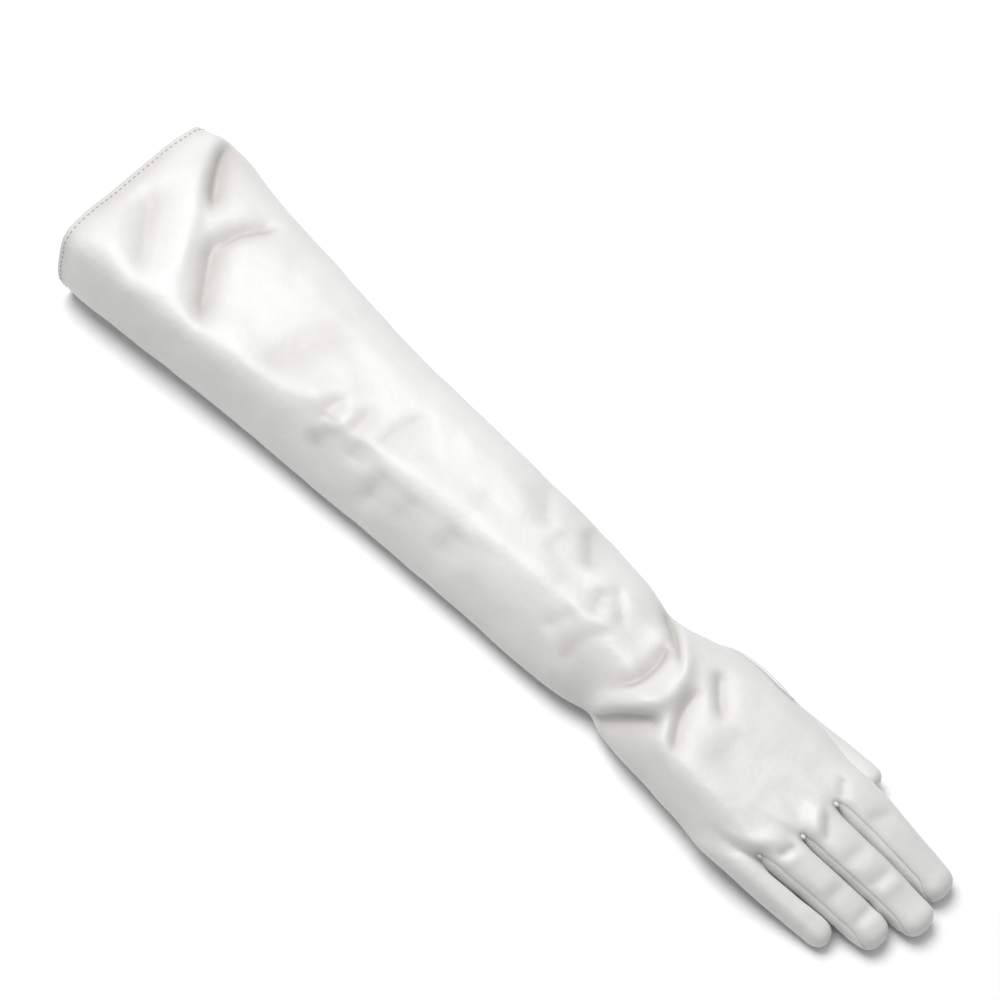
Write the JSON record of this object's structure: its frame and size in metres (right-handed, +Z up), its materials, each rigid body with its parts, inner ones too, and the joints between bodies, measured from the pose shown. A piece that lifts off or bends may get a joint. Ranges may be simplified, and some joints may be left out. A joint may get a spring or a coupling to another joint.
{
  "type": "faux leather opera glove for the right hand",
  "caption": "Long elbow-length dress glove of soft faux leather, hollow and open at the cuff, lying palm down with softly folded wrist.",
  "frame": {"origin": "middle of the underside of the glove's bounding box, on the surface it lies on", "axes": "+X from the cuff to the fingertips, +Y towards the thumb side, +Z up off the back of the hand"},
  "size_m": [0.5004, 0.109, 0.0507],
  "materials": {
    "leather": "off-white faux leather with a fine grain and a satin sheen",
    "strip_leather": "off-white faux leather strip between the fingers, satin",
    "hem_leather": "turned off-white faux leather, slightly duller than the outside",
    "welt_leather": "folded off-white faux leather seam edge, satin"
  },
  "bodies": {
    "root": {"trank": "leather", "thumb": "leather", "fourchette_index_middle": "strip_leather", "fourchette_middle_ring": "strip_leather", "fourchette_ring_little": "strip_leather", "cuff_hem": "hem_leather", "arm_seam_welt": "welt_leather", "hand_seam_welt": "welt_leather"}
  },
  "joints": []
}
